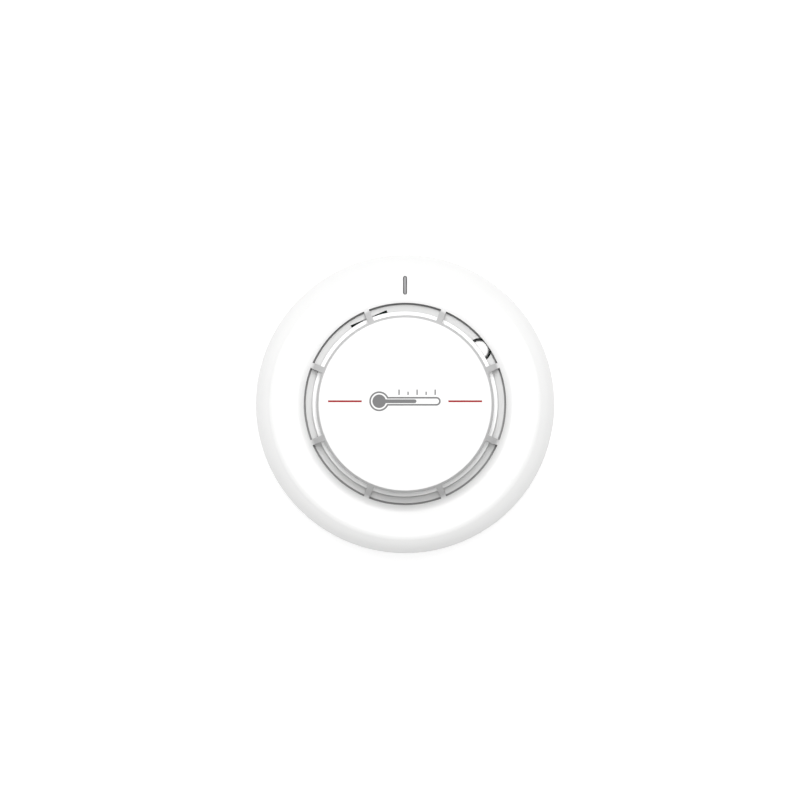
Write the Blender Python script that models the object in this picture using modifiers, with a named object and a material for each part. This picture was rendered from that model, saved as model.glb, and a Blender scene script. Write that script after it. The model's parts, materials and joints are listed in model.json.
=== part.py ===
"""Point heat detector: a twist-off sensing head on a ceiling base.

Lengths are in metres. The base's mounting face is z = 0, +Z points into the room,
and +Y passes through the indicator slot. The head turns about the Z axis.
"""
import math

import bmesh
import bpy
from mathutils import Matrix

MM = 0.001
GAP = 0.3 * MM                       # clearance between pieces that touch
SINK = 0.2 * MM                      # how far a joined shape is sunk into its neighbour
FINE_STEPS = 64                      # sides of the outer turned shells
INNER_STEPS = 48                     # sides of the turned shells inside
HOLE_SIDES = 16
SCREW_SIDES = 12

# Driving dimensions
OUTER_RADIUS = 50.0 * MM
TOTAL_HEIGHT = 44.0 * MM
BASE_HEIGHT = 10.0 * MM
FACE_Z = 31.0 * MM                   # the flat ring around the cage
FACE_RADIUS = 45.5 * MM
CAP_RADIUS = 28.95 * MM              # disc that closes the cage
LIP_RADIUS = 33.9 * MM               # outer edge of the vent windows
WALL = 2.0 * MM

# Cage over the sensing element
RIB_COUNT = 8
RIB_WIDTH_TOP = 2.15 * MM
RIB_WIDTH_FOOT = 1.8 * MM
CAP_THICKNESS = 1.8 * MM
FILLET = 3.0 * MM                    # hollow curve from the face up to the cage
FILLET_CENTRE_R = 36.2 * MM
CAGE_SLOPE = math.radians(67.6)

# Front cover
SKIRT_TOP_Z = 27.8 * MM
SKIRT_BOTTOM_Z = BASE_HEIGHT + 0.8 * MM
SLOT_WIDTH = 1.3 * MM
SLOT_LENGTH = 6.2 * MM
SLOT_R = 39.6 * MM
BOSS_R = 37.2 * MM                   # screw bosses' circle
BOSS_RADIUS = 2.4 * MM
CASE_SCREW_ANGLES = (0, 120, 240)

# Inner cover and sensor plate
INNER_TOP_Z = FACE_Z - WALL - GAP
INNER_WALL = 1.6 * MM
INNER_RADIUS = 44.2 * MM
GROOVE_INNER = 33.3 * MM             # groove under the windows' outer edge
GROOVE_OUTER = 35.0 * MM
GROOVE_DEPTH = 1.0 * MM
HUB_RADIUS = 12.1 * MM
SENSOR_PLATE_RADIUS = 31.0 * MM
SENSOR_PLATE_Z = 32.4 * MM
SENSOR_PLATE_THICKNESS = 1.4 * MM
POST_ANGLE = 36.0
POST_R = 30.6 * MM
POST_RADIUS = 3.0 * MM
POST_HOLE_RADIUS = 4.0 * MM
CLIP_ANGLE = 112.9
CLIP_SLOT_OUTER = 31.15 * MM
CLIP_SLOT_LENGTH = 13.0 * MM
CLIP_SLOT_WIDTH = 3.0 * MM

# Circuit board
BOARD_Z = 17.0 * MM
BOARD_THICKNESS = 1.6 * MM
BOARD_RADIUS = 42.0 * MM
BOARD_TOP = BOARD_Z + BOARD_THICKNESS
PARTS_Z = BOARD_TOP + GAP

# Rear shell
REAR_TOP = 13.0 * MM
REAR_BOTTOM = 11.0 * MM
SPIGOT_OUTER = 42.4 * MM
SPIGOT_INNER = 40.6 * MM
SPIGOT_Z = 5.0 * MM
LUG_OUTER = 45.4 * MM
LUG_TOP = 6.8 * MM
LUG_HALF_DEG = 7.0

# Base
BASE_FLOOR = 2.2 * MM
BASE_WALL_INNER = 47.9 * MM
HOOK_INNER = 43.2 * MM
HOOK_HALF_DEG = 9.0
HOOK_TOP = 8.9 * MM
BAYONET_ANGLES = (90, 210, 330)
CABLE_HOLE_RADIUS = 9.0 * MM
FIXING_R = 30.0 * MM                 # centre of each fixing slot
FIXING_LENGTH = 12.0 * MM
FIXING_WIDTH = 4.5 * MM

# Electrical contacts, one set in each quarter
CONTACT_ANGLES = (45, 135, 225, 315)
CONTACT_WIDTH = 7.0 * MM
STRIP = 0.8 * MM                     # thickness of the contact metal
CONTACT_SCREW_R = 15.5 * MM
BLADE_OUTER = 20.0 * MM
SPRING_INNER = 20.6 * MM
SPRING_OUTER = 31.0 * MM
SPRING_STRIP = 0.6 * MM
TERMINAL_SCREW_R = 26.5 * MM
PAD_TOP = 4.0 * MM


def clear_scene():
    """Empty the file so that the model is the same on every run."""
    for item in list(bpy.data.objects):
        bpy.data.objects.remove(item, do_unlink=True)
    for collection in list(bpy.data.collections):
        bpy.data.collections.remove(collection)


def new_collection(name):
    """A collection linked to the scene."""
    collection = bpy.data.collections.new(name)
    bpy.context.scene.collection.children.link(collection)
    return collection


def new_material(name, colour, roughness, metallic=0.0):
    """A Principled material of one finish."""
    material = bpy.data.materials.new(name)
    material.use_nodes = True
    shader = material.node_tree.nodes["Principled BSDF"]
    shader.inputs["Base Color"].default_value = (*colour, 1.0)
    shader.inputs["Roughness"].default_value = roughness
    shader.inputs["Metallic"].default_value = metallic
    return material


clear_scene()
PARTS = new_collection("heat_detector")
TOOLS = new_collection("cutters")
WHITE = new_material("white_abs", (0.86, 0.86, 0.85), 0.45)
INNER_WHITE = new_material("inner_abs", (0.82, 0.82, 0.81), 0.5)
CLEAR = new_material("light_pipe", (0.45, 0.46, 0.47), 0.2)
BOARD = new_material("board_green", (0.01, 0.05, 0.03), 0.4)
BLACK = new_material("component_black", (0.02, 0.02, 0.02), 0.4)
LAMP = new_material("lamp_body", (0.75, 0.72, 0.6), 0.3)
BEAD = new_material("thermistor_glass", (0.06, 0.03, 0.02), 0.15)
NICKEL = new_material("nickel_brass", (0.7, 0.66, 0.55), 0.25, 1.0)
STEEL = new_material("zinc_steel", (0.6, 0.61, 0.63), 0.3, 1.0)


# ---------------------------------------------------------------- shapes

def placed(angle_deg, radius=0.0, z=0.0):
    """A place on a circle around the Z axis, with X pointing outwards."""
    turn = Matrix.Rotation(math.radians(angle_deg), 4, 'Z')
    return turn @ Matrix.Translation((radius, 0.0, z))


def arc(centre_r, centre_z, radius, start_deg, end_deg, steps):
    """Points of a circular arc in the (r, z) plane."""
    points = []
    for index in range(steps + 1):
        angle = math.radians(start_deg + (end_deg - start_deg) * index / steps)
        points.append((centre_r + radius * math.cos(angle), centre_z + radius * math.sin(angle)))
    return points


def mesh_of(holder):
    """The evaluated mesh of a temporary object, welded, in world space."""
    bpy.context.scene.collection.objects.link(holder)
    bpy.context.view_layer.update()
    evaluated = holder.evaluated_get(bpy.context.evaluated_depsgraph_get())
    mesh = bpy.data.meshes.new_from_object(evaluated)
    mesh.transform(holder.matrix_world)
    bpy.data.objects.remove(holder, do_unlink=True)
    work = bmesh.new()
    work.from_mesh(mesh)
    bmesh.ops.remove_doubles(work, verts=work.verts, dist=0.001 * MM)
    work.to_mesh(mesh)
    work.free()
    return mesh


def turned(profile, steps=FINE_STEPS):
    """Turn an (r, z) profile about Z; a profile off the axis is a closed ring."""
    mesh = bpy.data.meshes.new("profile")
    edges = [(index, index + 1) for index in range(len(profile) - 1)]
    if profile[0][0] > 0.0:
        edges.append((len(profile) - 1, 0))
    mesh.from_pydata([(r, 0.0, z) for r, z in profile], edges, [])
    holder = bpy.data.objects.new("profile", mesh)
    screw = holder.modifiers.new("turn", 'SCREW')
    screw.axis = 'Z'
    screw.steps = steps
    screw.render_steps = steps
    screw.use_merge_vertices = True
    screw.merge_threshold = 0.001 * MM
    return mesh_of(holder)


def plate(outlines, bottom, top):
    """A flat plate from one outline, with any further outlines as holes."""
    curve = bpy.data.curves.new("outline", 'CURVE')
    curve.dimensions = '2D'
    curve.fill_mode = 'BOTH'
    curve.extrude = (top - bottom) / 2
    for outline in outlines:
        spline = curve.splines.new('POLY')
        spline.points.add(len(outline) - 1)
        for point, (x, y) in zip(spline.points, outline):
            point.co = (x, y, 0.0, 1.0)
        spline.use_cyclic_u = True
    holder = bpy.data.objects.new("outline", curve)
    holder.location.z = (top + bottom) / 2
    return mesh_of(holder)


def cylinder(radius, bottom, top, place=Matrix(), sides=HOLE_SIDES):
    """An upright cylinder between two heights."""
    work = bmesh.new()
    middle = Matrix.Translation((0.0, 0.0, (top + bottom) / 2))
    bmesh.ops.create_cone(work, cap_ends=True, segments=sides, radius1=radius, radius2=radius,
                          depth=top - bottom, matrix=place @ middle)
    mesh = bpy.data.meshes.new("cylinder")
    work.to_mesh(mesh)
    work.free()
    return mesh


def box(size, centre, place=Matrix()):
    """A box of a size about a centre."""
    work = bmesh.new()
    grow = Matrix.Diagonal((*size, 1.0))
    bmesh.ops.create_cube(work, size=1.0, matrix=place @ Matrix.Translation(centre) @ grow)
    mesh = bpy.data.meshes.new("box")
    work.to_mesh(mesh)
    work.free()
    return mesh


def moved(mesh, matrix):
    """The mesh after a move."""
    mesh.transform(matrix)
    return mesh


def gathered(meshes):
    """Several closed shapes in one mesh, for one Boolean."""
    work = bmesh.new()
    for mesh in meshes:
        work.from_mesh(mesh)
    result = bpy.data.meshes.new("group")
    work.to_mesh(result)
    work.free()
    return result


def circle(radius, centre=(0.0, 0.0), sides=HOLE_SIDES):
    """Outline of a round hole."""
    turns = [2 * math.pi * index / sides for index in range(sides)]
    return [(centre[0] + radius * math.cos(t), centre[1] + radius * math.sin(t)) for t in turns]


def on_circle(radius, angle_deg):
    """Point at a radius and an angle."""
    angle = math.radians(angle_deg)
    return (radius * math.cos(angle), radius * math.sin(angle))


def sector(inner, outer, start_deg, end_deg, steps=4):
    """Outline of a slice of a ring."""
    angles = [start_deg + (end_deg - start_deg) * index / steps for index in range(steps + 1)]
    return [on_circle(outer, a) for a in angles] + [on_circle(inner, a) for a in reversed(angles)]


def stadium(length, width, steps=6):
    """Outline of a slot with round ends, along X."""
    radius = width / 2
    half = length / 2 - radius
    right = arc(half, 0.0, radius, -90, 90, steps)
    left = arc(-half, 0.0, radius, 90, 270, steps)
    return right + left


# ---------------------------------------------------------------- assembly

def new_frame(name):
    """An empty that carries the pieces of one body."""
    frame = bpy.data.objects.new(name, None)
    PARTS.objects.link(frame)
    return frame


def add_part(name, mesh, material, frame, location=(0.0, 0.0, 0.0)):
    """One piece of the detector."""
    mesh.name = name
    mesh.shade_smooth()
    mesh.set_sharp_from_angle(angle=math.radians(30))
    mesh.materials.clear()
    mesh.materials.append(material)
    part = bpy.data.objects.new(name, mesh)
    part.location = location
    part.parent = frame
    PARTS.objects.link(part)
    return part


def shape_with(part, name, meshes, operation):
    """Join shapes to a piece, or cut them out of it."""
    tool = bpy.data.objects.new(f"{part.name}_{name}", gathered(meshes))
    tool.display_type = 'WIRE'
    tool.hide_render = True
    TOOLS.objects.link(tool)
    modifier = part.modifiers.new(name, 'BOOLEAN')
    modifier.operation = operation
    modifier.solver = 'EXACT'
    modifier.object = tool


def screw_mesh(head_radius, head_height, shank_radius, shank_length):
    """A pan-head screw standing on its tip side down, head's underside at z = 0."""
    crown = 0.25 * head_radius
    profile = [(0.0, head_height), (head_radius - crown, head_height),
               (head_radius, head_height - crown), (head_radius, 0.0), (shank_radius, 0.0),
               (shank_radius, shank_radius - shank_length), (0.0, -shank_length)]
    return turned(profile, SCREW_SIDES)


def add_screw(name, frame, place, head_radius, head_height, shank_radius, shank_length):
    """A screw with a cross recess, placed head outwards along the place's Z."""
    mesh = moved(screw_mesh(head_radius, head_height, shank_radius, shank_length), place)
    part = add_part(name, mesh, STEEL, frame)
    arm = (1.3 * head_radius, 0.28 * head_radius, head_height)
    blade = box(arm, (0.0, 0.0, 0.95 * head_height), place)
    cross = box((arm[1], arm[0], arm[2]), (0.0, 0.0, 0.95 * head_height), place)
    shape_with(part, "recess_a", [blade], 'DIFFERENCE')
    shape_with(part, "recess_b", [cross], 'DIFFERENCE')


# ---------------------------------------------------------------- head

def cage_line():
    """The cage's straight outer line, from the end of the hollow curve up to the cap."""
    foot_r = FILLET_CENTRE_R - FILLET * math.sin(CAGE_SLOPE)
    foot_z = FACE_Z + FILLET - FILLET * math.cos(CAGE_SLOPE)
    return foot_r, foot_z


def chamfer_curve(inset):
    """The bowed chamfer between the flat face and the skirt, for one side of the wall."""
    start_r, start_z = FACE_RADIUS, FACE_Z - 0.15 * MM
    end_r, end_z = OUTER_RADIUS - 0.2 * MM, SKIRT_TOP_Z
    bow = 0.35 * MM
    length = math.hypot(end_r - start_r, end_z - start_z)
    out_r, out_z = (start_z - end_z) / length, (end_r - start_r) / length
    points = []
    for step in (0.0, 0.25, 0.5, 0.75, 1.0):
        lift = 4 * bow * step * (1 - step) - inset
        points.append((start_r + (end_r - start_r) * step + out_r * lift,
                       start_z + (end_z - start_z) * step + out_z * lift))
    return points


def front_cover_profile():
    """Outer side from the cap's centre down to the skirt, then up the inner side."""
    foot_r, foot_z = cage_line()
    slope_deg = math.degrees(CAGE_SLOPE)
    cap_edge_z = TOTAL_HEIGHT - 0.35 * MM
    outer = [(0.0, TOTAL_HEIGHT), (CAP_RADIUS - 0.35 * MM, TOTAL_HEIGHT),
             (CAP_RADIUS - 0.1 * MM, TOTAL_HEIGHT - 0.1 * MM), (CAP_RADIUS, cap_edge_z)]
    outer += arc(FILLET_CENTRE_R, FACE_Z + FILLET, FILLET, 270 - slope_deg, 270, 5)
    outer.append((FACE_RADIUS - 0.3 * MM, FACE_Z))
    outer += chamfer_curve(0.0)
    outer.append((OUTER_RADIUS, SKIRT_BOTTOM_Z))
    inner_face = FACE_Z - WALL
    inner_skirt = OUTER_RADIUS - WALL + 0.2 * MM
    inner = [(inner_skirt, SKIRT_BOTTOM_Z)]
    inner += [point for point in reversed(chamfer_curve(WALL))
              if point[1] < inner_face and point[0] < inner_skirt]
    inner.append((44.45 * MM, inner_face))
    inner += arc(FILLET_CENTRE_R, FACE_Z + FILLET, FILLET + WALL, 270, 270 - slope_deg, 4)
    inner_r, inner_z = inner[-1]
    cap_under = TOTAL_HEIGHT - CAP_THICKNESS
    run = (foot_r - CAP_RADIUS) / (cap_edge_z - foot_z)
    inner.append((inner_r - run * (cap_under - inner_z), cap_under))
    inner.append((0.0, cap_under))
    return outer + inner


def window_outline(index):
    """Plan of one vent window, between two ribs."""
    inner = 25.0 * MM
    middle = 360.0 / RIB_COUNT * index
    half = 180.0 / RIB_COUNT
    inner_half = half - math.degrees(RIB_WIDTH_TOP / 2 / CAP_RADIUS)
    outer_half = half - math.degrees(RIB_WIDTH_FOOT / 2 / LIP_RADIUS)
    steps = 6
    points = []
    for step in range(steps + 1):
        points.append(on_circle(LIP_RADIUS, middle + outer_half * (2 * step / steps - 1)))
    for step in range(steps, -1, -1):
        points.append(on_circle(inner, middle + inner_half * (2 * step / steps - 1)))
    return points


def build_front_cover(frame):
    """Front moulding: skirt, flat face, eight-ribbed cage and cap, with screw bosses."""
    cover = add_part("front_cover", turned(front_cover_profile()), WHITE, frame)
    window_top = TOTAL_HEIGHT - CAP_THICKNESS - 0.05 * MM
    windows = [plate([window_outline(index)], 26.0 * MM, window_top) for index in range(RIB_COUNT)]
    shape_with(cover, "windows", windows, 'DIFFERENCE')
    places = [placed(angle, BOSS_R) for angle in CASE_SCREW_ANGLES]
    boss_top = FACE_Z - WALL / 2
    bosses = [cylinder(BOSS_RADIUS, REAR_TOP + GAP, boss_top, place) for place in places]
    shape_with(cover, "bosses", bosses, 'UNION')
    pilot = [cylinder(1.6 * MM, REAR_TOP - GAP, 23.0 * MM, place, 12) for place in places]
    slot = moved(plate([stadium(SLOT_LENGTH, SLOT_WIDTH)], 26.0 * MM, FACE_Z + WALL),
                 placed(90, SLOT_R))
    shape_with(cover, "holes", pilot + [slot], 'DIFFERENCE')


def build_light_pipe(frame):
    """Clear blade that carries the indicator's light to the slot in the face."""
    place = placed(90, SLOT_R)
    blade_gap = 0.2 * MM
    outline = stadium(SLOT_LENGTH - 2 * blade_gap, SLOT_WIDTH - 2 * blade_gap)
    blade = moved(plate([outline], BOARD_TOP + 1.8 * MM, FACE_Z - 0.1 * MM), place)
    pipe = add_part("light_pipe", blade, CLEAR, frame)
    shoulder_top = INNER_TOP_Z - INNER_WALL - GAP
    shoulder = moved(plate([stadium(6.0 * MM, 2.6 * MM)], shoulder_top - 1.0 * MM, shoulder_top), place)
    shape_with(pipe, "shoulder", [shoulder], 'UNION')


def build_inner_cover(frame):
    """Cover over the circuit board; its top is the floor seen through the cage."""
    bottom = REAR_TOP + GAP
    under = INNER_TOP_Z - INNER_WALL
    hub_hole = HUB_RADIUS + GAP
    groove_z = INNER_TOP_Z - GROOVE_DEPTH
    profile = [(hub_hole, INNER_TOP_Z), (GROOVE_INNER, INNER_TOP_Z), (GROOVE_INNER, groove_z),
               (GROOVE_OUTER, groove_z), (GROOVE_OUTER, INNER_TOP_Z), (INNER_RADIUS - GAP, INNER_TOP_Z),
               (INNER_RADIUS, INNER_TOP_Z - GAP), (INNER_RADIUS, bottom),
               (INNER_RADIUS - 1.4 * MM, bottom), (INNER_RADIUS - 1.4 * MM, under), (hub_hole, under)]
    cover = add_part("inner_cover", turned(profile, INNER_STEPS), INNER_WHITE, frame)
    low, high = under - MM, INNER_TOP_Z + MM
    post = cylinder(POST_HOLE_RADIUS, low, high, placed(POST_ANGLE, POST_R), 32)
    clip_r = CLIP_SLOT_OUTER - CLIP_SLOT_WIDTH / 2
    clip = box((CLIP_SLOT_WIDTH, CLIP_SLOT_LENGTH, high - low), (clip_r, 0.0, (low + high) / 2),
               placed(CLIP_ANGLE))
    pipe = moved(plate([stadium(SLOT_LENGTH + GAP, SLOT_WIDTH + GAP)], low, high), placed(90, SLOT_R))
    bosses = [cylinder(BOSS_RADIUS + 2 * GAP, low, high, placed(angle, BOSS_R))
              for angle in CASE_SCREW_ANGLES]
    shape_with(cover, "openings", [post, clip, pipe] + bosses, 'DIFFERENCE')


def build_sensor_plate(frame):
    """Disc under the cage that carries the sensing element, held by its hub and one clip."""
    under = SENSOR_PLATE_Z - SENSOR_PLATE_THICKNESS
    seat = INNER_TOP_Z + GAP
    edge = 0.25 * MM
    profile = [(2.0 * MM, 35.4 * MM), (3.2 * MM, 35.4 * MM), (3.8 * MM, SENSOR_PLATE_Z),
               (SENSOR_PLATE_RADIUS - edge, SENSOR_PLATE_Z),
               (SENSOR_PLATE_RADIUS, SENSOR_PLATE_Z - edge), (SENSOR_PLATE_RADIUS, under),
               (14.0 * MM, under), (14.0 * MM, seat), (HUB_RADIUS, seat),
               (HUB_RADIUS, 26.5 * MM), (10.6 * MM, 26.5 * MM), (10.6 * MM, under), (2.0 * MM, under)]
    disc = add_part("sensor_plate", turned(profile, INNER_STEPS), INNER_WHITE, frame)
    place = placed(CLIP_ANGLE)
    barb_top = INNER_TOP_Z - INNER_WALL - GAP
    tab_r = CLIP_SLOT_OUTER - CLIP_SLOT_WIDTH / 2 + GAP
    tab_bottom = barb_top - 1.2 * MM
    tab_top = under + SINK
    tab = box((1.6 * MM, 8.0 * MM, tab_top - tab_bottom), (tab_r, 0.0, (tab_top + tab_bottom) / 2), place)
    barb = box((2.6 * MM, 7.6 * MM, 1.0 * MM), (tab_r + 1.0 * MM, 0.0, barb_top - 0.5 * MM), place)
    shape_with(disc, "tab", [tab], 'UNION')
    shape_with(disc, "barb", [barb], 'UNION')


def build_thermistor(frame):
    """Coated bead on two stiff leads, standing in the middle of the cage."""
    work = bmesh.new()
    size = Matrix.Diagonal((1.25 * MM, 1.25 * MM, 1.8 * MM, 1.0))
    bmesh.ops.create_uvsphere(work, u_segments=16, v_segments=10, radius=1.0, matrix=size)
    mesh = bpy.data.meshes.new("bead")
    work.to_mesh(mesh)
    work.free()
    centre_z = 38.4 * MM
    bead = add_part("thermistor", moved(mesh, Matrix.Translation((0.0, 0.0, centre_z))), BEAD, frame)
    leads = [cylinder(0.28 * MM, PARTS_Z, centre_z, Matrix.Translation((side * 0.7 * MM, 0.0, 0.0)), 8)
             for side in (-1, 1)]
    shape_with(bead, "leads", leads, 'UNION')


def build_circuit_board(frame):
    """Round board with clearance holes for the bosses and the locating post."""
    holes = [circle(BOSS_RADIUS + 2 * GAP, on_circle(BOSS_R, angle)) for angle in CASE_SCREW_ANGLES]
    holes.append(circle(POST_RADIUS + 2 * GAP, on_circle(POST_R, POST_ANGLE)))
    board = plate([circle(BOARD_RADIUS, sides=48)] + holes, BOARD_Z, BOARD_TOP)
    add_part("circuit_board", board, BOARD, frame)


def build_board_parts(frame):
    """The electronic components on the board."""
    def block(name, size, x, y, material):
        add_part(name, box(size, (0.0, 0.0, size[2] / 2)), material, frame, (x, y, PARTS_Z))

    block("indicator_led", (3.4 * MM, 2.6 * MM, 1.2 * MM), 0.0, 39.0 * MM, LAMP)
    block("microcontroller", (9.0 * MM, 9.0 * MM, 1.4 * MM), -14.0 * MM, 12.0 * MM, BLACK)
    block("bridge_rectifier", (8.4 * MM, 6.4 * MM, 2.6 * MM), -22.0 * MM, -14.0 * MM, BLACK)
    block("programming_connector", (12.0 * MM, 5.0 * MM, 6.0 * MM), 6.0 * MM, 27.0 * MM, BLACK)
    block("crystal", (11.0 * MM, 4.4 * MM, 3.4 * MM), 19.0 * MM, 5.0 * MM, STEEL)
    capacitor = [(0.0, 7.0 * MM), (2.7 * MM, 7.0 * MM), (3.15 * MM, 6.6 * MM), (3.15 * MM, 1.2 * MM),
                 (2.85 * MM, 0.9 * MM), (3.15 * MM, 0.6 * MM), (3.15 * MM, 0.0), (0.0, 0.0)]
    add_part("capacitor", turned(capacitor, 24), BLACK, frame, (18.0 * MM, -18.0 * MM, PARTS_Z))
    coil = [(0.0, 5.0 * MM), (5.0 * MM, 5.0 * MM), (5.0 * MM, 4.0 * MM), (3.6 * MM, 4.0 * MM),
            (3.6 * MM, 1.0 * MM), (5.0 * MM, 1.0 * MM), (5.0 * MM, 0.0), (0.0, 0.0)]
    add_part("choke_coil", turned(coil, 24), BLACK, frame, (-3.0 * MM, -27.0 * MM, PARTS_Z))


def build_rear_shell(frame):
    """Back of the head: plate, spigot with bayonet lugs, board posts and locating post."""
    profile = [(0.0, REAR_TOP), (45.2 * MM, REAR_TOP), (45.2 * MM, 16.0 * MM), (47.3 * MM, 16.0 * MM),
               (47.3 * MM, REAR_BOTTOM), (SPIGOT_OUTER, REAR_BOTTOM), (SPIGOT_OUTER, SPIGOT_Z),
               (SPIGOT_INNER, SPIGOT_Z), (SPIGOT_INNER, REAR_BOTTOM), (0.0, REAR_BOTTOM)]
    shell = add_part("rear_shell", turned(profile, INNER_STEPS), WHITE, frame)
    lugs = [plate([sector(SPIGOT_OUTER - 4 * SINK, LUG_OUTER, angle - LUG_HALF_DEG, angle + LUG_HALF_DEG)],
                  SPIGOT_Z + SINK, LUG_TOP) for angle in BAYONET_ANGLES]
    posts = [cylinder(3.0 * MM, REAR_TOP - SINK, BOARD_Z - GAP, placed(angle, 28.0 * MM))
             for angle in (0, 120, 240)]
    locator_top = SENSOR_PLATE_Z - SENSOR_PLATE_THICKNESS - 0.4 * MM
    locator = [(0.0, locator_top), (POST_RADIUS - 0.3 * MM, locator_top),
               (POST_RADIUS, locator_top - 0.3 * MM), (POST_RADIUS, REAR_TOP - SINK),
               (0.0, REAR_TOP - SINK)]
    post = moved(turned(locator, 32), placed(POST_ANGLE, POST_R))
    shape_with(shell, "lugs_and_posts", lugs + posts + [post], 'UNION')
    low, high = REAR_BOTTOM - MM, REAR_TOP + MM
    contact = [cylinder(1.7 * MM, low, high, placed(angle, CONTACT_SCREW_R), 12)
               for angle in CONTACT_ANGLES]
    case = [cylinder(1.6 * MM, low, high, placed(angle, BOSS_R), 12) for angle in CASE_SCREW_ANGLES]
    shape_with(shell, "screw_holes", contact + case, 'DIFFERENCE')


def build_case_screws(frame):
    """Three screws that pull the rear shell onto the front cover's bosses."""
    flip = Matrix.Rotation(math.pi, 4, 'X')
    for number, angle in enumerate(CASE_SCREW_ANGLES, 1):
        place = placed(angle, BOSS_R, REAR_BOTTOM - GAP) @ flip
        add_screw(f"case_screw_{number}", frame, place, 2.5 * MM, 1.8 * MM, 1.3 * MM, 11.0 * MM)


def bent_strip(path, thickness, width, place):
    """Sheet-metal strip: an outline in the (r, z) plane, as wide as the contact."""
    outline = path + [(r, z) for r, z in reversed(offset_path(path, thickness))]
    strip = plate([outline], -width / 2, width / 2)
    return moved(strip, place @ Matrix.Rotation(math.pi / 2, 4, 'X'))


def offset_path(path, thickness):
    """A path of square or slanting bends, moved to its right by the thickness."""
    result = []
    for index, (r, z) in enumerate(path):
        before = path[max(index - 1, 0)]
        after = path[min(index + 1, len(path) - 1)]
        first = unit(before, (r, z)) if index > 0 else unit((r, z), after)
        second = unit((r, z), after) if index < len(path) - 1 else first
        normal = (first[1] + second[1], -first[0] - second[0])
        scale = thickness / (normal[0] * first[1] - normal[1] * first[0])
        result.append((r + normal[0] * scale, z + normal[1] * scale))
    return result


def unit(start, end):
    """Direction from one point to another."""
    length = math.hypot(end[0] - start[0], end[1] - start[1])
    return ((end[0] - start[0]) / length, (end[1] - start[1]) / length)


def build_head_contacts(frame):
    """Four nickel-plated blades under the rear shell, each with its screw and spacer."""
    foot_top = REAR_BOTTOM - GAP
    path = [(BLADE_OUTER, 5.6 * MM), (BLADE_OUTER, foot_top), (11.5 * MM, foot_top)]
    for number, angle in enumerate(CONTACT_ANGLES, 1):
        mesh = bent_strip([*reversed(path)], STRIP, CONTACT_WIDTH, placed(angle))
        blade = add_part(f"contact_blade_{number}", mesh, NICKEL, frame)
        hole = cylinder(1.7 * MM, foot_top - 2 * STRIP, foot_top + STRIP, placed(angle, CONTACT_SCREW_R), 12)
        shape_with(blade, "hole", [hole], 'DIFFERENCE')
        flip = Matrix.Rotation(math.pi, 4, 'X')
        place = placed(angle, CONTACT_SCREW_R, foot_top - STRIP - GAP) @ flip
        add_screw(f"contact_screw_{number}", frame, place, 2.5 * MM, 1.7 * MM, 1.4 * MM, 6.6 * MM)
        ring = [(1.7 * MM, BOARD_Z - GAP), (3.0 * MM, BOARD_Z - GAP), (3.0 * MM, REAR_TOP + GAP),
                (1.7 * MM, REAR_TOP + GAP)]
        spacer = moved(turned(ring, SCREW_SIDES), placed(angle, CONTACT_SCREW_R))
        add_part(f"contact_spacer_{number}", spacer, NICKEL, frame)


# ---------------------------------------------------------------- base

def build_base_plate(frame):
    """Ceiling base: floor, rim wall, terminal pads, bayonet hooks and fixing slots."""
    profile = [(BASE_WALL_INNER, BASE_HEIGHT), (OUTER_RADIUS - GAP, BASE_HEIGHT),
               (OUTER_RADIUS, BASE_HEIGHT - GAP), (OUTER_RADIUS - 0.4 * MM, 0.0),
               (CABLE_HOLE_RADIUS, 0.0), (CABLE_HOLE_RADIUS, BASE_FLOOR), (BASE_WALL_INNER, BASE_FLOOR)]
    base = add_part("base_plate", turned(profile), WHITE, frame)
    pad_length = SPRING_OUTER - SPRING_INNER + 1.6 * MM
    pad_r = (SPRING_OUTER + SPRING_INNER) / 2 + 0.6 * MM
    pads = [box((pad_length, 10.0 * MM, PAD_TOP - BASE_FLOOR + SINK),
                (pad_r, 0.0, (PAD_TOP + BASE_FLOOR - SINK) / 2), placed(angle))
            for angle in CONTACT_ANGLES]
    wall = BASE_WALL_INNER + 2 * SINK
    hooks = [plate([sector(HOOK_INNER, wall, angle - HOOK_HALF_DEG, angle + HOOK_HALF_DEG, 6)],
                   LUG_TOP + GAP, HOOK_TOP) for angle in BAYONET_ANGLES]
    shape_with(base, "pads_and_hooks", pads + hooks, 'UNION')
    stops = [plate([sector(HOOK_INNER + SINK, wall + SINK, angle - 11.5, angle - 7.8, 2)],
                   4.6 * MM, HOOK_TOP - SINK) for angle in BAYONET_ANGLES]
    shape_with(base, "stops", stops, 'UNION')
    slots = [moved(plate([stadium(FIXING_LENGTH, FIXING_WIDTH)], -MM, BASE_FLOOR + MM),
                   placed(angle, FIXING_R)) for angle in (0, 180)]
    pilots = [cylinder(1.9 * MM, 0.7 * MM, PAD_TOP + MM, placed(angle, TERMINAL_SCREW_R), 12)
              for angle in CONTACT_ANGLES]
    shape_with(base, "slots", slots + pilots, 'DIFFERENCE')


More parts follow.
